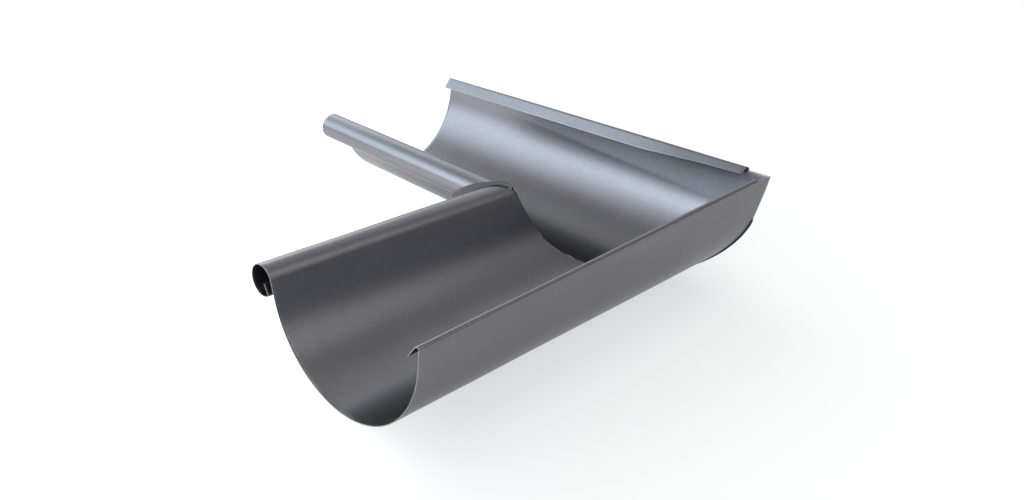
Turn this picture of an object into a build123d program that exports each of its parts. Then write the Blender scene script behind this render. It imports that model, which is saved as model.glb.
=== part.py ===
from build123d import *
import os
from math import cos, sin, radians, sqrt, hypot, atan2, acos, degrees, pi

os.makedirs("parts", exist_ok=True)

# ---------------------------------------------------------------- dimensions (mm)
sheet = 0.6                 # steel sheet
arm_length = 265.4          # crossing of the trough centre lines to each open end
bead_radius = 10.1          # outside radius of the rolled front bead
bead_centre = (-72.3, -6.7)
bead_end_angle = 303.0      # where the bead's sheet stops and turns inward
tab_length = 6.6            # straight free edge inside the bead
tab_heading = 121.0
tab_bend = 1.0
fold_radius = 1.9           # outside radius of the rounded back edge
fold_kick = 22.0            # small outward kick below the back edge
kick_radius = 1.2
lip_length = 8.8            # water lip
lip_heading = 236.0
# towards the corner the lip is trimmed narrower: place along the arm, width left
lip_trim = [(-52.0, 9.37), (9.0, 5.9), (60.0, 4.6)]

# trough section at the open end and at the mitre: outside radius, centre, lean of
# the back wall, and the height of the crest of the back edge
open_radius, open_centre, open_lean, open_crest = 62.5, (-0.2, 3.0), 1.0, 12.5
mitre_radius, mitre_centre, mitre_lean, mitre_crest = 59.1, (0.0, -2.2), 8.6, 22.1

seam_height = 0.8           # the mitre edges are turned out and stand this proud
seam_from, seam_to = 196.0, 350.5
# the turned-out edge over the bead, which is left wider on the inner side of the angle
bead_fin = [(-64.6, 0.6), (-66.2, 3.4), (-67.9, 5.3), (-70.4, 5.9), (-74.5, 5.5), (-79.0, 4.7),
            (-84.4, 3.2), (-88.6, 1.0), (-91.8, -1.4), (-94.2, -4.0), (-95.4, -7.2), (-94.4, -10.4), (-91.0, -12.9),
            (-85.5, -14.6), (-79.0, -15.0)]
slit = [(0, -4.4), (1.75, -0.8), (1.1, 0.9), (0, 1.3)]   # small open slit where wall and bead meet
notch_at = 44.5             # the lip and back edge stop here, before the corner
notch_slant = 0.33
corner_wall_top = 19.7      # top of the plain wall in the corner

# the frame stands on the seam's lowest point, centred on the bounding box
reach = 63.31               # outermost point of the back walls at the corner
ox = (arm_length - reach) / 2
oz = mitre_radius - mitre_centre[1] + seam_height

half = sheet / 2


# ---------------------------------------------------------------- section path
def walk(point, heading, moves):
    """Chain of tangent runs ("run", length) and bends ("bend", radius, turn)."""
    chain = []
    x, y = point
    for move in moves:
        h = radians(heading)
        if move[0] == "run":
            nx, ny = x + move[1] * cos(h), y + move[1] * sin(h)
            chain.append(("run", (x, y), (nx, ny)))
        else:
            radius, turn = move[1], move[2]
            side = 1 if turn > 0 else -1
            cx, cy = x - side * radius * sin(h), y + side * radius * cos(h)
            a0 = heading - 90 * side
            a1 = a0 + turn
            nx, ny = cx + radius * cos(radians(a1)), cy + radius * sin(radians(a1))
            chain.append(("bend", (cx, cy), radius, a0, a1))
            heading += turn
        x, y = nx, ny
    return chain


def turned_back(chain):
    out = []
    for part in reversed(chain):
        if part[0] == "run":
            out.append(("run", part[2], part[1]))
        else:
            out.append(("bend", part[1], part[2], part[4], part[3]))
    return out


def centre_line(radius, centre, lean, crest):
    """Middle of the sheet, from the tab in the bead to the free edge of the lip."""
    r, (cx, cy) = radius - half, centre
    # front side: trough, wall tangent to both circles, bead, tab
    bx, by = bead_centre
    rb = bead_radius - half
    base = degrees(atan2(cy - by, cx - bx))
    spread = degrees(acos((r + rb) / hypot(cx - bx, cy - by)))
    front = base + spread
    bead_on = (bx + rb * cos(radians(front)), by + rb * sin(radians(front)))
    trough_on = (cx - r * cos(radians(front)), cy - r * sin(radians(front)))
    wall = hypot(bead_on[0] - trough_on[0], bead_on[1] - trough_on[1])
    wrap = bead_end_angle - front
    tab_turn = tab_heading + 360 - (bead_end_angle + 90)
    front_moves = [
        ("bend", r, -(90 - front)),
        ("run", wall),
        ("bend", rb, wrap),
        ("bend", tab_bend, tab_turn),
        ("run", tab_length),
    ]
    front_chain = walk((cx, cy - r), 180, front_moves)
    # back side: trough, leaning wall, small kick, rounded edge, lip
    rf = fold_radius - half
    heading = 90 - lean
    tail = [("bend", kick_radius, -fold_kick), ("bend", rf, lip_heading - heading + fold_kick)]
    # height from the start of the kick to the crest of the rounded edge
    fold_top = walk((0, 0), heading, tail)[1][1][1] + rf + half
    start = (cx + r * sin(radians(heading)), cy - r * cos(radians(heading)))
    back_run = (crest - fold_top - start[1]) / sin(radians(heading))
    back_moves = [("bend", r, heading), ("run", back_run)] + tail + [
        ("run", lip_length)]
    back_chain = walk((cx, cy - r), 0, back_moves)
    front_chain = turned_back(front_chain)
    # the two halves of the trough are one bend
    trough = ("bend", (cx, cy), r, front_chain[-1][3], front_chain[-1][4] + back_chain[0][4] - back_chain[0][3])
    return front_chain[:-1] + [trough] + back_chain[1:]


def point_on(centre, radius, angle, k):
    return (k * (centre[0] + radius * cos(radians(angle))), centre[1] + radius * sin(radians(angle)))


def draw_section(chain, k):
    """Both faces of the sheet and its two edges; k stretches the drawing sideways."""
    outline = []
    for side in (1, -1):
        for part in chain:
            if part[0] == "run":
                (x0, y0), (x1, y1) = part[1], part[2]
                d = hypot(x1 - x0, y1 - y0)
                nx, ny = -(y1 - y0) / d * half * side, (x1 - x0) / d * half * side
                outline.append(((k * (x0 + nx), y0 + ny), (k * (x1 + nx), y1 + ny)))
                Line(*outline[-1])
            else:
                c, r, a0, a1 = part[1:]
                r = r - half * side * (1 if a1 > a0 else -1)
                ends = (point_on(c, r, a0, k), point_on(c, r, a1, k))
                outline.append(ends)
                if k == 1:
                    CenterArc(c, r, a0, a1 - a0)
                else:
                    lo, hi = min(a0, a1), max(a0, a1)
                    EllipticalCenterArc((k * c[0], c[1]), k * r, r, lo, arc_size=hi - lo)
    n = len(chain)
    Line(outline[0][0], outline[n][0])
    Line(outline[n - 1][1], outline[-1][1])


open_chain = centre_line(open_radius, open_centre, open_lean, open_crest)
mitre_chain = centre_line(mitre_radius, mitre_centre, mitre_lean, mitre_crest)

open_plane = Plane(origin=(ox, ox - arm_length, oz), x_dir=(1, 0, 0), z_dir=(0, -1, 0))
mitre_plane = Plane(origin=(ox, ox, oz), x_dir=(1, 1, 0), z_dir=(1, -1, 0))

# ---------------------------------------------------------------- front arm
with BuildPart() as front_arm:
    with BuildSketch(open_plane):
        with BuildLine():
            draw_section(open_chain, 1)
        make_face()
    with BuildSketch(mitre_plane):
        with BuildLine():
            draw_section(mitre_chain, sqrt(2))
        make_face()
    loft(ruled=True)

    # mitre edge turned outward, standing proud of the trough's outside
    with BuildSketch(mitre_plane) as seam:
        with BuildLine():
            k = sqrt(2)
            c = (k * mitre_centre[0], mitre_centre[1])
            ri = mitre_radius - half
            ro = mitre_radius + seam_height
            # the sheet leaves the mitre at 45 degrees: this stays inside it over the whole thickness
            inner = EllipticalCenterArc((c[0] - half, c[1]), k * ri, ri, seam_from, arc_size=seam_to - seam_from)
            outer = EllipticalCenterArc(c, k * ri + half + seam_height, ro, seam_from + 2,
                                        arc_size=seam_to - seam_from - 4)
            Line(inner @ 0, outer @ 0)
            Line(inner @ 1, outer @ 1)
        make_face()
    extrude(amount=sheet)

    # its wider part around the bead
    with BuildSketch(mitre_plane):
        with BuildLine():
            k = sqrt(2)
            rim = [(k * u, v) for u, v in bead_fin]
            Spline(*rim)
            Line(rim[-1], (k * bead_centre[0] - 8, bead_centre[1] - 6))
            Line((k * bead_centre[0] - 8, bead_centre[1] - 6), (k * bead_centre[0] + 5, bead_centre[1] + 5))
            Line((k * bead_centre[0] + 5, bead_centre[1] + 5), rim[0])
        make_face()
        with Locations((k * bead_centre[0] - half, bead_centre[1])):
            Ellipse(k * (bead_radius - half), bead_radius - half, mode=Mode.SUBTRACT)
    extrude(amount=sheet)

    # slit at the inner corner, half of it in each arm
    with BuildSketch(Plane(origin=(ox - 57, ox - 57, oz), x_dir=(1, -1, 0), z_dir=(-1, -1, 0))):
        with BuildLine():
            Polyline(*slit, close=True)
        make_face()
    extrude(amount=13 * sqrt(2), mode=Mode.SUBTRACT)

    # the lip and the rounded edge are cut away before the corner
    for u0, u1, z0 in ((40, 59.8, 8), (40, 70, corner_wall_top)):
        with BuildSketch(Plane.XY.offset(oz + z0)):
            with BuildLine():
                Polyline(
                    (ox + u0, ox + notch_at + notch_slant * (u0 - 60)),
                    (ox + u1, ox + notch_at + notch_slant * (u1 - 60)),
                    (ox + u1, ox + 90), (ox + u0, ox + 90), close=True)
            make_face()
        extrude(amount=40, mode=Mode.SUBTRACT)

    # the lip narrows before it stops
    def lip_u(place, width):
        """Sideways place of the lip's free edge where the lip is this wide."""
        u0, u1 = open_chain[-1][1][0], mitre_chain[-1][1][0]
        s = (place + arm_length) / (arm_length + u1)
        return u0 * (1 - s) + u1 * s + width * cos(radians(lip_heading))

    with BuildSketch(Plane.XY.offset(oz + 4)):
        with BuildLine():
            edge = [(ox + lip_u(y, w), ox + y) for y, w in lip_trim]
            Polyline(*edge, (ox + 42, ox + 60), (ox + 42, ox - 52), close=True)
        make_face()
    extrude(amount=40, mode=Mode.SUBTRACT)

front_arm.part.label = "front_arm"
export_step(front_arm.part, "parts/front_arm.step")

# ---------------------------------------------------------------- side arm
# the same pressing handed the other way, mirrored in the mitre plane
with BuildPart() as side_arm:
    mirror(front_arm.part, about=mitre_plane)

side_arm.part.label = "side_arm"
export_step(side_arm.part, "parts/side_arm.step")

for arm in (front_arm, side_arm):
    box = arm.part.bounding_box()
    print(arm.part.label, "solids", len(arm.part.solids()), "valid", arm.part.is_valid,
          "volume", round(arm.part.volume, 1), "box", box.min, box.max)
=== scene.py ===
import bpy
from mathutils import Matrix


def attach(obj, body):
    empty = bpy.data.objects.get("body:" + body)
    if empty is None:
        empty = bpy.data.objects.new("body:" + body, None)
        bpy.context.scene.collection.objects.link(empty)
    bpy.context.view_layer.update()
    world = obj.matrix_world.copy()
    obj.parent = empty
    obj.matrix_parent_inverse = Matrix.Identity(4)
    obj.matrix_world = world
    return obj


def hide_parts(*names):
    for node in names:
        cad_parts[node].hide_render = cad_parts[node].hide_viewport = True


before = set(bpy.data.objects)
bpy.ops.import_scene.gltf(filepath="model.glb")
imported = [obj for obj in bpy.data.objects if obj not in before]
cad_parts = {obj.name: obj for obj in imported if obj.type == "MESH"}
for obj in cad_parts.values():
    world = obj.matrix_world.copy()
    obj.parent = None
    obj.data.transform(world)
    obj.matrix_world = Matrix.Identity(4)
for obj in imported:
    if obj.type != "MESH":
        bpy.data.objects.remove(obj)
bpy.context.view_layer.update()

import math

import bpy
import numpy as np
from mathutils import Matrix, Vector

# ------------------------------------------------------------------ dimensions (mm), as in the CAD
SHEET = 0.6
HALF = SHEET / 2
ARM = 265.4
BEAD_R, BEAD_C = 10.1, (-72.3, -6.7)
BEAD_END, TAB_LEN, TAB_HEAD, TAB_BEND = 303.0, 6.6, 121.0, 1.0
FOLD_R, KICK, KICK_R = 1.9, 22.0, 1.2
LIP_LEN, LIP_HEAD = 8.8, 236.0
LIP_TRIM = ((-42.0, 8.8), (9.0, 5.9), (60.0, 4.6))      # place along the arm, width left
OPEN = (62.5, (-0.2, 3.0), 1.0, 12.5)
MITRE = (59.1, (0.0, -2.2), 8.6, 22.1)
SEAM_H, SEAM_FROM, SEAM_TO = 0.8, 196.0, 350.5
NOTCH, NOTCH_SLANT, CORNER_TOP = 44.5, 0.33, 19.7
FIN = [(-64.6, 0.6), (-66.2, 3.4), (-67.9, 5.3), (-70.4, 5.9), (-74.5, 5.5), (-79.0, 4.7),
       (-84.4, 3.2), (-88.6, 1.0), (-91.8, -1.4), (-94.2, -4.0), (-95.4, -7.2), (-94.4, -10.4), (-91.0, -12.9),
       (-85.5, -14.6), (-79.0, -15.0)]
REACH = 63.31
OX = (ARM - REACH) / 2
OZ = MITRE[0] - MITRE[1][1] + SEAM_H
rad, deg = math.radians, math.degrees


# ------------------------------------------------------------------ sheet section
def walk(point, heading, moves):
    chain = []
    x, y = point
    for move in moves:
        h = rad(heading)
        if move[0] == "run":
            nx, ny = x + move[1] * math.cos(h), y + move[1] * math.sin(h)
            chain.append(("run", (x, y), (nx, ny)))
        else:
            radius, turn = move[1], move[2]
            side = 1 if turn > 0 else -1
            cx, cy = x - side * radius * math.sin(h), y + side * radius * math.cos(h)
            a0 = heading - 90 * side
            a1 = a0 + turn
            nx, ny = cx + radius * math.cos(rad(a1)), cy + radius * math.sin(rad(a1))
            chain.append(("bend", (cx, cy), radius, a0, a1))
            heading += turn
        x, y = nx, ny
    return chain


def turned_back(chain):
    return [("run", p[2], p[1]) if p[0] == "run" else ("bend", p[1], p[2], p[4], p[3]) for p in reversed(chain)]


def centre_line(radius, centre, lean, crest):
    r, (cx, cy) = radius - HALF, centre
    bx, by = BEAD_C
    rb = BEAD_R - HALF
    base = deg(math.atan2(cy - by, cx - bx))
    front = base + deg(math.acos((r + rb) / math.hypot(cx - bx, cy - by)))
    on_b = (bx + rb * math.cos(rad(front)), by + rb * math.sin(rad(front)))
    on_t = (cx - r * math.cos(rad(front)), cy - r * math.sin(rad(front)))
    first = walk((cx, cy - r), 180, [
        ("bend", r, -(90 - front)), ("run", math.dist(on_b, on_t)), ("bend", rb, BEAD_END - front),
        ("bend", TAB_BEND, TAB_HEAD + 360 - (BEAD_END + 90)), ("run", TAB_LEN)])
    rf = FOLD_R - HALF
    heading = 90 - lean
    tail = [("bend", KICK_R, -KICK), ("bend", rf, LIP_HEAD - heading + KICK)]
    top = walk((0, 0), heading, tail)[1][1][1] + rf + HALF
    start = (cx + r * math.sin(rad(heading)), cy - r * math.cos(rad(heading)))
    run = (crest - top - start[1]) / math.sin(rad(heading))
    last = walk((cx, cy - r), 0, [("bend", r, heading), ("run", run)] + tail + [("run", LIP_LEN)])
    first = turned_back(first)
    trough = ("bend", (cx, cy), r, first[-1][3], first[-1][4] + last[0][4] - last[0][3])
    return first[:-1] + [trough] + last[1:]


# pieces of the chain: 0 tab, 1 bend, 2 bead, 3 front wall, 4 trough, 5 back wall, 6 kick, 7 rounded edge,
# 8 lip
STEPS = [8, 6, 72, 8, 96, 14, 5, 18, 10]


def points_of(chain):
    """Middle of the sheet as points, with the normal that points into the trough (left of travel)."""
    pts, nrm = [], []
    for n, (part, steps) in enumerate(zip(chain, STEPS)):
        last = n == len(chain) - 1
        for t in np.linspace(0, 1, steps + 1)[: None if last else -1]:
            if part[0] == "run":
                p = np.array(part[1]) * (1 - t) + np.array(part[2]) * t
                d = np.array(part[2]) - np.array(part[1])
                d = d / np.linalg.norm(d)
                nn = (-d[1], d[0])
            else:
                c, r, a0, a1 = part[1:]
                a = rad(a0 + (a1 - a0) * t)
                p = (c[0] + r * math.cos(a), c[1] + r * math.sin(a))
                s = -1 if a1 > a0 else 1
                nn = (s * math.cos(a), s * math.sin(a))
            pts.append(p)
            nrm.append(nn)
    return np.array(pts, float), np.array(nrm, float)


OPEN_P, OPEN_N = points_of(centre_line(*OPEN))
MITRE_P, MITRE_N = points_of(centre_line(*MITRE))
ROWS = len(OPEN_P)
FIRST = np.cumsum([0] + STEPS)          # first row of each piece of the chain
WALL0, WALL1 = FIRST[5], FIRST[6]


# ------------------------------------------------------------------ one arm as a closed sheet mesh
TOP_ROW = WALL1 + int(np.argmin(np.abs(MITRE_P[WALL1:FIRST[7] + 12, 1] - CORNER_TOP)))
SLIT = ((-4.4, 0.0), (-0.8, 1.75), (0.9, 1.1), (1.3, 0.0))       # height, half width
SQ2 = math.sqrt(2)
BOW = 1.15                                          # mm
ROUND = 0.14                                        # rounding of the cut edges


def seam_heights():
    """How far each row's mitre edge is turned out, on the trough side (h < 0: over the bead, on the other face)."""
    h = np.zeros(ROWS)
    c = np.array(MITRE[1])
    fin = np.array([(SQ2 * u, v) for u, v in FIN])
    knots = np.cumsum(np.r_[0, np.linalg.norm(np.diff(fin, axis=0), axis=1)])
    fine = np.linspace(0, knots[-1], 400)
    # smooth rim through the outline's points
    rim = np.stack([np.interp(fine, knots, fin[:, 0]), np.interp(fine, knots, fin[:, 1])], 1)
    for _ in range(14):
        rim[1:-1] = rim[1:-1] * 0.5 + (rim[:-2] + rim[2:]) * 0.25
    bc = np.array([SQ2 * BEAD_C[0], BEAD_C[1]])
    rim_a = np.unwrap(np.arctan2(rim[:, 1] - bc[1], rim[:, 0] - bc[0]))
    rim_d = np.linalg.norm(rim - bc, axis=1)
    for i in range(ROWS):
        u, v = MITRE_P[i]
        if FIRST[4] <= i < FIRST[5] + 4:
            a = deg(math.atan2(v - c[1], u - c[0])) % 360
            if SEAM_FROM < a < SEAM_TO:
                ramp = min(1.0, (a - SEAM_FROM) / 3.0, (SEAM_TO - a) / 7.0)
                h[i] = SEAM_H * math.sin(ramp * math.pi / 2)
        if FIRST[2] <= i <= FIRST[3]:
            q = MITRE_P[i] + MITRE_N[i] * HALF
            d = np.array([SQ2 * q[0], q[1]]) - bc
            a = math.atan2(d[1], d[0])
            for k in (a, a + 2 * math.pi):
                if rim_a.min() < k < rim_a.max():
                    r = np.interp(k, rim_a, rim_d) if rim_a[-1] > rim_a[0] else np.interp(k, rim_a[::-1], rim_d[::-1])
                    h[i] = -max(0.0, r - np.linalg.norm(d))
    return h


def from_bead(i):
    """Direction out of the bead's middle, in the mitre plane, at row i."""
    q = MITRE_P[i] + MITRE_N[i] * HALF
    d = np.array([SQ2 * (q[0] - BEAD_C[0]), q[1] - BEAD_C[1]])
    d = d / np.linalg.norm(d)
    return np.array([d[0] / SQ2, d[0] / SQ2, d[1]])


HEIGHT = seam_heights()


def ripple(i, s):
    """Small unevenness of the rolled sheet, mm along the sheet's normal (rows i, stations s)."""
    t = i / (ROWS - 1)
    w = (np.sin(2 * math.pi * (1.7 * s + 0.8 * t)) * 0.05 + np.sin(2 * math.pi * (4.3 * s - 2.1 * t + 0.2)) * 0.022
         + np.sin(2 * math.pi * (9.0 * s + 5.0 * t + 0.6)) * 0.008)
    return w * np.clip(np.sin(math.pi * np.clip(s, 0, 1)) * 3, 0, 1)


SWELL = 0.42                                        # more of it just below the rounded edge (mm)
BOW0 = FIRST[5] - 20                                # the bow starts this far down in the trough
BOW_LEN = np.cumsum(np.r_[0, np.linalg.norm(np.diff(MITRE_P[BOW0:WALL1 + 1], axis=0), axis=1)])


def bow(i, s):
    """Towards the corner the back wall bulges a little (mm outward)."""
    if not BOW0 < i < WALL1:
        return 0.0
    t = BOW_LEN[i - BOW0] / BOW_LEN[-1]
    k = min(max((s - 0.02) / 0.78, 0.0), 1.0)
    k = k * k * (3 - 2 * k)
    end = min(max((s - 0.88) / 0.12, 0.0), 1.0)
    up = min(max((t - 0.22) / 0.58, 0.0), 1.0)
    down = min(max((t - 0.86) / 0.14, 0.0), 1.0)
    swell = SWELL * up * up * (3 - 2 * up) * (1 - down * down * (3 - 2 * down))
    return k * (1 - 0.75 * end * end * (3 - 2 * end)) * (BOW * t * t * (1 - t) / 0.148 + swell)


def lip_wave(s):
    """The lip isn't folded quite evenly along its length (degrees about the rounded edge)."""
    return (np.interp(s, [0, 0.12, 0.3, 0.6, 0.72, 0.82, 1], [-2.0, -1.2, 1.3, 2.1, 0.4, -0.9, -0.9])
            + 0.25 * np.sin(2 * math.pi * (6.1 * s + 0.1)))


def arm(name, mirrored, phase):
    n_long, n_end = 84, 9
    stations = n_long + n_end
    grid = {"in": np.zeros((ROWS, stations + 1, 3)), "out": np.zeros((ROWS, stations + 1, 3))}
    rows = np.arange(ROWS)
    mitre_len = ARM + MITRE_P[:, 0]
    # where each row meets the notch
    cut = np.zeros(ROWS)
    for i in rows:
        u0, u1 = OPEN_P[i, 0], MITRE_P[i, 0]
        # y(s) = -ARM + s (ARM + u1) ; cut at NOTCH + NOTCH_SLANT (u(s) - 60)
        cut[i] = (NOTCH + NOTCH_SLANT * (u0 - 60) + ARM) / (ARM + u1 - NOTCH_SLANT * (u1 - u0))
    s_top = cut[TOP_ROW]
    s = np.zeros((ROWS, stations + 1))
    lead = np.linspace(0, 1, n_long + 1)
    # closer stations near both ends
    for i in rows:
        end = cut[i] if i > TOP_ROW else s_top
        s[i, : n_long + 1] = lead * end
        s[i, n_long:] = np.linspace(end, 1, n_end + 1)

    def place(i, ss, off, extra=0.0):
        """Point on row i at station value ss, off mm along the normal into the trough."""
        a = OPEN_P[i] + OPEN_N[i] * off
        b = MITRE_P[i] + MITRE_N[i] * off
        y0, y1 = -ARM, b[0] - MITRE_N[i, 0] * bow(i, ss)
        if i > FIRST[8]:
            y = y0 * (1 - ss) + MITRE_P[-1, 0] * ss
            width = np.interp(y, [k[0] for k in LIP_TRIM], [k[1] for k in LIP_TRIM])
            k = (i - FIRST[8]) / (ROWS - 1 - FIRST[8]) * (1 - width / LIP_LEN)
            back_o, back_m = OPEN_P[FIRST[8]] - OPEN_P[-1], MITRE_P[FIRST[8]] - MITRE_P[-1]
            a, b = a + back_o * k, b + back_m * k
        p = np.array([a[0] * (1 - ss) + b[0] * ss, y0 * (1 - ss) + y1 * ss, a[1] * (1 - ss) + b[1] * ss])
        nn = OPEN_N[i] * (1 - ss) + MITRE_N[i] * ss
        w = ripple(i, (ss + phase) % 1.0) * np.clip((1 - ss) * 12, 0, 1) * np.clip(ss * 8, 0, 1)
        w = w - bow(i, ss)
        p = p + np.array([nn[0] * w, 0, nn[1] * w])
        if i > FIRST[7]:
            # turn the lip a little about the rounded edge's middle
            g = min(1.0, (i - FIRST[7]) / (FIRST[8] - FIRST[7]))
            ca = np.array([(OPEN_P[FIRST[7]] + OPEN_P[FIRST[8]]) / 2, (MITRE_P[FIRST[7]] + MITRE_P[FIRST[8]]) / 2])
            c = ca[0] * (1 - ss) + ca[1] * ss
            th = rad(lip_wave(ss)) * g
            dx, dz = p[0] - c[0], p[2] - c[1]
            p[0], p[2] = c[0] + dx * math.cos(th) - dz * math.sin(th), c[1] + dx * math.sin(th) + dz * math.cos(th)
        return p

    for i in rows:
        for j in range(stations + 1):
            if i > TOP_ROW and j > n_long:
                continue
            grid["in"][i, j] = place(i, s[i, j], HALF)
            grid["out"][i, j] = place(i, s[i, j], -HALF)

    verts, index = [], {}

    def vert(key, p):
        if key not in index:
            index[key] = len(verts)
            verts.append((p[0], p[1], p[2]))
        return index[key]

    # boundary of the sheet, in order, with the outward direction along the sheet at each vertex
    border = [(0, j) for j in range(stations + 1)] + [(i, stations) for i in range(1, TOP_ROW + 1)] \
        + [(TOP_ROW, j) for j in range(stations - 1, n_long - 1, -1)] + [(i, n_long) for i in range(TOP_ROW + 1, ROWS)] \
        + [(ROWS - 1, j) for j in range(n_long - 1, -1, -1)] + [(i, 0) for i in range(ROWS - 2, 0, -1)]

    def unit(x):
        d = np.linalg.norm(x)
        return x / d if d > 1e-9 else x

    def along(i, j):
        g = (grid["in"] + grid["out"]) / 2
        d = np.zeros(3)
        if i == 0:
            d += unit(g[0, j] - g[1, j])
        if i == ROWS - 1:
            d += unit(g[i, j] - g[i - 1, j])
        if j == 0:
            d += np.array([0, -1.0, 0])
        if j == n_long and i > TOP_ROW:
            d += unit(g[i, j] - g[i, j - 1])
        if i == TOP_ROW and n_long < j <= stations:
            d += unit(g[i, j] - g[i - 1, j])
        return d

    mid = {}
    moved = {}
    m = np.array([1, -1, 0]) / SQ2                      # out of the mitre plane, towards this arm
    for i, j in border:
        pi, po = grid["in"][i, j], grid["out"][i, j]
        if j == stations:
            v = MITRE_P[i, 1]
            slit = MITRE_P[i, 0] > -70 and FIRST[2] < i <= FIRST[3] + 6 and not mirrored
            back = np.interp(v, [k[0] for k in SLIT], [k[1] for k in SLIT], 0, 0) * SQ2 if slit else 0.0
            a = MITRE_P[min(i + 1, ROWS - 1)] - MITRE_P[max(i - 1, 0)]
            n2 = unit(np.array([-a[1], SQ2 * a[0]]))    # left of travel in the mitre plane
            left = np.array([n2[0] / SQ2, n2[0] / SQ2, n2[1]])
            h = HEIGHT[i]

            def at(off, sb):
                return place(i, 1 - (sb + back) / mitre_len[i], off)

            on_i, on_o = at(HALF, 0), at(-HALF, 0)
            if h >= 0:
                # in two places the front arm's edge is curled up a little
                curl = 0.0 if mirrored else 0.85 * math.exp(-((i - 100.5) / 1.3) ** 2) + 0.7 * math.exp(-((i - 115.5) / 2.2) ** 2)
                e = [at(HALF, 0.5 + 0.7 * curl), on_i + left * (curl - 0.32), on_o - left * h,
                     (on_o - left * h + m * SHEET) if h > 0.3 else at(-HALF, 0.5) * (1 - h / 0.3) + (on_o - left * h + m * SHEET) * (h / 0.3),
                     at(-HALF, 0.95), at(-HALF, 1.15)]
                A = e
            if h <= 0:
                k = -h
                if k > 0.05:
                    left = from_bead(i)
                e = [at(HALF, 1.15), at(HALF, 0.95),
                     (on_i + left * k + m * SHEET) if k > 0.3 else at(HALF, 0.5) * (1 - k / 0.3) + (on_i + left * k + m * SHEET) * (k / 0.3),
                     on_i + left * k, on_o + left * 0.1, at(-HALF, 0.5)]
                B = e
            if h > 0:
                e = A
            elif h < 0:
                e = B
            else:
                # front wall: fold side changes from the bead's outside to the trough's outside
                w = np.clip((i - FIRST[3]) / 6.0, 0, 1) if i < FIRST[4] + 30 else 1.0
                e = [A[q] * w + B[q] * (1 - w) for q in range(6)]
            moved[(i, j)] = (e[0], e[5])
            mid[(i, j)] = e[1:5]
        else:
            d = unit(along(i, j))
            e = unit(po - pi)
            r = ROUND
            moved[(i, j)] = (pi - d * r, po - d * r)
            mid[(i, j)] = [pi - d * r * 0.293 + e * r * 0.293, pi + e * r, po - e * r, po - d * r * 0.293 - e * r * 0.293]
    for key, (a, b) in moved.items():
        grid["in"][key], grid["out"][key] = a, b

    faces, kinds = [], []
    for i in range(ROWS - 1):
        for j in range(stations):
            if i >= TOP_ROW and j >= n_long:
                continue
            q = [(i, j), (i + 1, j), (i + 1, j + 1), (i, j + 1)]
            faces.append([vert(("in",) + k, grid["in"][k]) for k in q][::-1])
            faces.append([vert(("out",) + k, grid["out"][k]) for k in q])
            kinds += [0, 0]
    count = len(border)
    for n in range(count):
        a, b = border[n], border[(n + 1) % count]
        ca = [vert(("in",) + a, grid["in"][a])] + [vert(("mid", q) + a, mid[a][q]) for q in range(4)] + [vert(("out",) + a, grid["out"][a])]
        cb = [vert(("in",) + b, grid["in"][b])] + [vert(("mid", q) + b, mid[b][q]) for q in range(4)] + [vert(("out",) + b, grid["out"][b])]
        on_mitre = a[1] == stations and b[1] == stations
        # painted shade: the turned-out seam flange's face and the fin's rim get a near-black colour that stands in
        # for the shade in the gap between the arms
        shaded_seam = on_mitre and min(HEIGHT[a[0]], HEIGHT[b[0]]) > 0.12
        flared = on_mitre and max(HEIGHT[a[0]], HEIGHT[b[0]]) < -0.4
        for q in range(5):
            faces.append([ca[q], ca[q + 1], cb[q + 1], cb[q]])
            # the fin's face gets a flat grey as painted shade instead of the coating, for the tone its face shows
            # under the lights
            kinds.append((2 if (shaded_seam and q > 1) or (flared and q == 2) else 3 if flared and q == 1 else 0) if on_mitre else 1)
    co = np.array(verts)
    co[:, 0] += OX
    co[:, 1] += OX
    co[:, 2] += OZ
    if mirrored:
        co = co[:, [1, 0, 2]]
        faces = [f[::-1] for f in faces]
    me = bpy.data.meshes.new(name)
    me.from_pydata((co / 1000).tolist(), [], faces)
    me.polygons.foreach_set("material_index", kinds)
    me.polygons.foreach_set("use_smooth", [True] * len(faces))
    me.update()
    me.set_sharp_from_angle(angle=rad(32))
    ob = bpy.data.objects.new(name, me)
    bpy.context.scene.collection.objects.link(ob)
    return ob


# ------------------------------------------------------------------ materials
def node_material(name):
    mat = bpy.data.materials.new(name)
    mat.use_nodes = True
    nt = mat.node_tree
    nt.nodes.clear()
    out = nt.nodes.new("ShaderNodeOutputMaterial")
    bsdf = nt.nodes.new("ShaderNodeBsdfPrincipled")
    nt.links.new(bsdf.outputs[0], out.inputs[0])
    return mat, nt, bsdf


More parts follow.
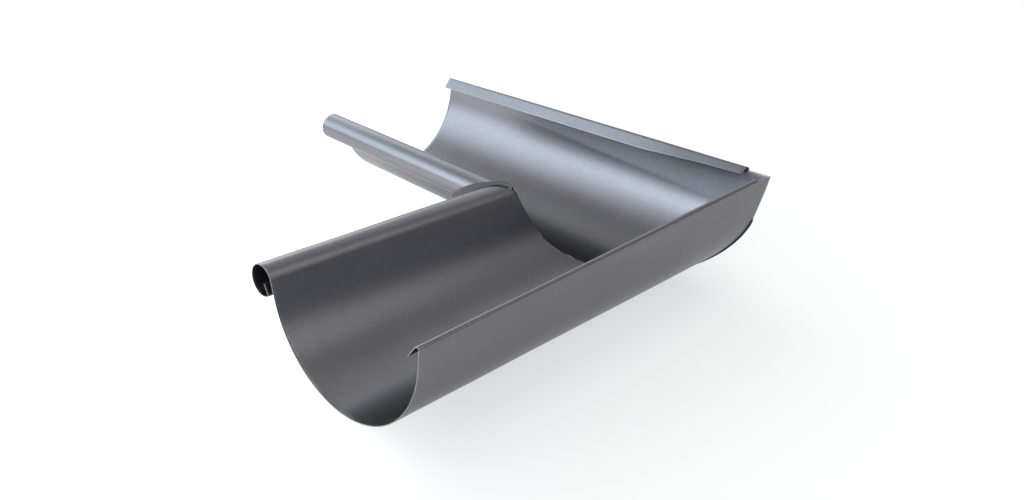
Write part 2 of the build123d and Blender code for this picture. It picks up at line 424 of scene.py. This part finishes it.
def paint():
    mat, nt, b = node_material("metallic_coating")
    L, N = nt.links.new, nt.nodes.new
    co = N("ShaderNodeTexCoord").outputs["Object"]
    b.inputs["Metallic"].default_value = 0.97
    b.inputs["Specular Tint"].default_value = (0.62, 0.62, 0.62, 1)
    b.inputs["Coat Weight"].default_value = 0.12
    b.inputs["Coat Roughness"].default_value = 0.22
    flake = N("ShaderNodeTexVoronoi")
    flake.inputs["Scale"].default_value = 1500
    L(co, flake.inputs["Vector"])
    grain = N("ShaderNodeTexNoise")
    grain.inputs["Scale"].default_value = 620
    grain.inputs["Detail"].default_value = 3
    L(co, grain.inputs["Vector"])
    cloud = N("ShaderNodeTexNoise")
    cloud.inputs["Scale"].default_value = 14
    cloud.inputs["Detail"].default_value = 4
    L(co, cloud.inputs["Vector"])
    sep = N("ShaderNodeSeparateColor")
    L(flake.outputs["Color"], sep.inputs[0])
    mix = N("ShaderNodeMath"); mix.operation = "MULTIPLY_ADD"
    L(sep.outputs[0], mix.inputs[0]); mix.inputs[1].default_value = 0.5
    half_ = N("ShaderNodeMath"); half_.operation = "MULTIPLY"
    L(grain.outputs[0], half_.inputs[0]); half_.inputs[1].default_value = 0.5
    L(half_.outputs[0], mix.inputs[2])
    ramp = N("ShaderNodeValToRGB")
    ramp.color_ramp.elements[0].position = 0.25
    ramp.color_ramp.elements[0].color = (0.162, 0.159, 0.175, 1)
    ramp.color_ramp.elements[1].position = 0.8
    ramp.color_ramp.elements[1].color = (0.193, 0.190, 0.210, 1)
    L(mix.outputs[0], ramp.inputs[0])
    tint = N("ShaderNodeMix"); tint.data_type = "RGBA"; tint.blend_type = "MULTIPLY"
    tint.inputs[0].default_value = 1.0
    shade = N("ShaderNodeMapRange")
    shade.inputs["From Min"].default_value = 0.3
    shade.inputs["From Max"].default_value = 0.7
    shade.inputs["To Min"].default_value = 0.965
    shade.inputs["To Max"].default_value = 1.035
    L(cloud.outputs[0], shade.inputs["Value"])
    L(ramp.outputs[0], tint.inputs[6])
    L(shade.outputs[0], tint.inputs[7])
    L(tint.outputs[2], b.inputs["Base Color"])
    rough = N("ShaderNodeMapRange")
    rough.inputs["To Min"].default_value = 0.285
    rough.inputs["To Max"].default_value = 0.325
    L(cloud.outputs[0], rough.inputs["Value"])
    L(rough.outputs[0], b.inputs["Roughness"])
    bump = N("ShaderNodeBump")
    bump.inputs["Strength"].default_value = 0.07
    bump.inputs["Distance"].default_value = 0.0002
    L(mix.outputs[0], bump.inputs["Height"])
    L(bump.outputs[0], b.inputs["Normal"])
    return mat


def cut_edge():
    mat, nt, b = node_material("cut_edge")
    L, N = nt.links.new, nt.nodes.new
    co = N("ShaderNodeTexCoord").outputs["Object"]
    b.inputs["Metallic"].default_value = 0.7
    noise = N("ShaderNodeTexNoise")
    noise.inputs["Scale"].default_value = 900
    noise.inputs["Detail"].default_value = 2
    L(co, noise.inputs["Vector"])
    ramp = N("ShaderNodeValToRGB")
    ramp.color_ramp.elements[0].position = 0.35
    ramp.color_ramp.elements[0].color = (0.17, 0.168, 0.18, 1)
    ramp.color_ramp.elements[1].position = 0.7
    ramp.color_ramp.elements[1].color = (0.25, 0.248, 0.265, 1)
    L(noise.outputs[0], ramp.inputs[0])
    L(ramp.outputs[0], b.inputs["Base Color"])
    rough = N("ShaderNodeMapRange")
    rough.inputs["To Min"].default_value = 0.35
    rough.inputs["To Max"].default_value = 0.55
    L(noise.outputs[0], rough.inputs["Value"])
    L(rough.outputs[0], b.inputs["Roughness"])
    return mat


# a flat matte colour, used for painted shade on the seam and on the fin's face
def painted_tone(name, dark, light):
    mat, nt, b = node_material(name)
    L, N = nt.links.new, nt.nodes.new
    noise = N("ShaderNodeTexNoise")
    noise.inputs["Scale"].default_value = 300
    L(N("ShaderNodeTexCoord").outputs["Object"], noise.inputs["Vector"])
    ramp = N("ShaderNodeValToRGB")
    ramp.color_ramp.elements[0].color = (dark, dark, dark * 1.06, 1)
    ramp.color_ramp.elements[1].color = (light, light, light * 1.06, 1)
    L(noise.outputs[0], ramp.inputs[0])
    L(ramp.outputs[0], b.inputs["Base Color"])
    b.inputs["Roughness"].default_value = 0.6
    b.inputs["Specular IOR Level"].default_value = 0.25
    return mat


# SEAM_SHADE is near-black painted shade on the outer seam flange and the fin's rim
PAINT, EDGE, SEAM_SHADE, FIN_SHADE = paint(), cut_edge(), painted_tone("painted_seam_shade", 0.012, 0.022), painted_tone("fin_face_painted_shade", 0.145, 0.185)
front = arm("front_arm_sheet", False, 0.0)
side = arm("side_arm_sheet", True, 0.37)
for ob, node in ((front, "front_arm"), (side, "side_arm")):
    ob.data.materials.append(PAINT)
    ob.data.materials.append(EDGE)
    ob.data.materials.append(SEAM_SHADE)
    # flat grey painted on the fin's face for its shaded tone; the fin is the same coated sheet
    ob.data.materials.append(FIN_SHADE)
    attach(ob, "root")
    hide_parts(node)

# ------------------------------------------------------------------ stage, light, camera
LEFT_AZ, LEFT_EL, LEFT_L = 217, (24, 45), 3.9
BACK_L, RIGHT_L, TOP_L, ROOM_L = 1.1, 0.72, 1.2, (0.38, 0.50)


def floor_material():
    mat, nt, b = node_material("pale_floor")
    b.inputs["Base Color"].default_value = (0.41, 0.40, 0.385, 1)
    b.inputs["Emission Color"].default_value = (0.98, 0.993, 1.01, 1)
    # painted light: the floor glows (emission), strongest on the window's side, standing in for the window's light on
    # it and lifting the shadows under the gutter
    L, N = nt.links.new, nt.nodes.new
    side_ = N("ShaderNodeVectorMath")
    side_.operation = "DOT_PRODUCT"
    side_.inputs[1].default_value = (-0.8, -0.6, 0)
    L(N("ShaderNodeTexCoord").outputs["Object"], side_.inputs[0])
    glow = N("ShaderNodeMapRange")
    glow.interpolation_type = "SMOOTHSTEP"
    glow.inputs["From Min"].default_value = -0.06
    glow.inputs["From Max"].default_value = 0.14
    glow.inputs["To Min"].default_value = 0.62
    glow.inputs["To Max"].default_value = 1.45
    L(side_.outputs["Value"], glow.inputs["Value"])
    fade = N("ShaderNodeMapRange")
    fade.interpolation_type = "SMOOTHSTEP"
    fade.inputs["From Min"].default_value = 0.22
    fade.inputs["From Max"].default_value = 0.75
    fade.inputs["To Min"].default_value = 1.0
    fade.inputs["To Max"].default_value = 0.4
    L(side_.outputs["Value"], fade.inputs["Value"])
    both = N("ShaderNodeMath")
    both.operation = "MULTIPLY"
    L(glow.outputs[0], both.inputs[0])
    L(fade.outputs[0], both.inputs[1])
    L(both.outputs[0], b.inputs["Emission Strength"])
    b.inputs["Roughness"].default_value = 0.9
    b.inputs["Specular IOR Level"].default_value = 0.0
    return mat


me = bpy.data.meshes.new("floor")
F = 6.0
me.from_pydata([(-F, -F, 0), (F, -F, 0), (F, F, 0), (-F, F, 0)], [], [(0, 1, 2, 3)])
me.materials.append(floor_material())
floor = bpy.data.objects.new("floor", me)
bpy.context.scene.collection.objects.link(floor)

world = bpy.data.worlds.new("studio")
bpy.context.scene.world = world
world.use_nodes = True
nt = world.node_tree
bg = nt.nodes["Background"]
L, N = nt.links.new, nt.nodes.new
way = N("ShaderNodeTexCoord").outputs["Generated"]
split = N("ShaderNodeSeparateXYZ")
L(way, split.inputs[0])
flat = N("ShaderNodeVectorMath"); flat.operation = "MULTIPLY"
flat.inputs[1].default_value = (1, 1, 0)
L(way, flat.inputs[0])
unit_flat = N("ShaderNodeVectorMath"); unit_flat.operation = "NORMALIZE"
L(flat.outputs[0], unit_flat.inputs[0])


def smooth(value, lo, hi, out_lo, out_hi):
    n = N("ShaderNodeMapRange")
    n.interpolation_type = "SMOOTHSTEP"
    n.inputs["From Min"].default_value = lo
    n.inputs["From Max"].default_value = hi
    n.inputs["To Min"].default_value = out_lo
    n.inputs["To Max"].default_value = out_hi
    L(value, n.inputs["Value"])
    return n.outputs[0]


def toward(azimuth):
    d = N("ShaderNodeVectorMath"); d.operation = "DOT_PRODUCT"
    d.inputs[1].default_value = (math.cos(rad(azimuth)), math.sin(rad(azimuth)), 0)
    L(unit_flat.outputs[0], d.inputs[0])
    return d.outputs["Value"]


def times(p, q):
    m_ = N("ShaderNodeMath"); m_.operation = "MULTIPLY"
    for k, v in enumerate((p, q)):
        if isinstance(v, (int, float)):
            m_.inputs[k].default_value = v
        else:
            L(v, m_.inputs[k])
    return m_.outputs[0]


def tinted(value, colour):
    v = N("ShaderNodeVectorMath"); v.operation = "SCALE"
    v.inputs[0].default_value = colour
    L(value, v.inputs["Scale"])
    return v.outputs[0]


def plus(p, q):
    v = N("ShaderNodeVectorMath"); v.operation = "ADD"
    L(p, v.inputs[0]); L(q, v.inputs[1])
    return v.outputs[0]


height = split.outputs[2]
# broad window light low on the left, a weaker one low on the right, dim room, bright ceiling patch
# its edges fall towards the front, where it is also brighter
lowered = N("ShaderNodeMath")
lowered.operation = "ADD"
L(height, lowered.inputs[0])
L(smooth(toward(300), 0.24, 0.50, -0.05, 0.12), lowered.inputs[1])
lowered = lowered.outputs[0]
window = times(smooth(toward(LEFT_AZ), 0.0, 0.6, 0, 1),
               smooth(lowered, math.sin(rad(LEFT_EL[0])), math.sin(rad(LEFT_EL[1])), LEFT_L, 0))
window = times(window, times(smooth(lowered, -0.06, 0.12, 0.25, 1), smooth(toward(300), 0.2, 0.5, 0.72, 1.15)))
other = times(times(smooth(toward(25), 0.87, 0.985, 0, 1), smooth(height, 0.75, 0.95, RIGHT_L, 0)), smooth(height, 0.24, 0.6, 0, 1))
ceiling = smooth(height, 0.93, 0.99, 0, TOP_L)
horizon = times(times(smooth(toward(137), 0.5, 0.85, 0, 1), smooth(height, 0.42, 0.98, BACK_L, 0)), smooth(height, 0.25, 0.5, 0.45, 1))
room = smooth(height, 0.0, 0.8, ROOM_L[0], ROOM_L[1])
total = plus(plus(tinted(window, (0.87, 1.0, 1.08)), plus(tinted(other, (1, 1, 1)), tinted(horizon, (0.96, 1.0, 0.98)))), plus(tinted(ceiling, (1, 1, 1)), tinted(room, (1, 1, 1))))
L(total, bg.inputs[0])
bg.inputs[1].default_value = 1.0

AZ, EL, ROLL, DIST, FPX = 41.77, 26.18, 4.03, 589.12, 929.40
T = np.array([-10.86 + OX, -122.35 + OX, -8.58 + OZ])
a, e, r = rad(AZ), rad(EL), rad(ROLL)
back = np.array([math.sin(a) * math.cos(e), -math.cos(a) * math.cos(e), math.sin(e)])
right = np.array([math.cos(a), math.sin(a), 0.0])
up = np.cross(back, right)
right_r = right * math.cos(r) + up * math.sin(r)
up_r = -right * math.sin(r) + up * math.cos(r)
C = (T + back * DIST) / 1000
cam = bpy.data.cameras.new("camera")
cam.sensor_fit = "HORIZONTAL"
cam.sensor_width = 36.0
cam.lens = FPX * 36.0 / 1024
cam.clip_start, cam.clip_end = 0.01, 50
camera = bpy.data.objects.new("camera", cam)
bpy.context.scene.collection.objects.link(camera)
camera.matrix_world = Matrix(((right_r[0], up_r[0], back[0], C[0]), (right_r[1], up_r[1], back[1], C[1]),
                              (right_r[2], up_r[2], back[2], C[2]), (0, 0, 0, 1)))
bpy.context.scene.camera = camera
bpy.context.scene.view_settings.view_transform = "Standard"

bpy.context.view_layer.update()
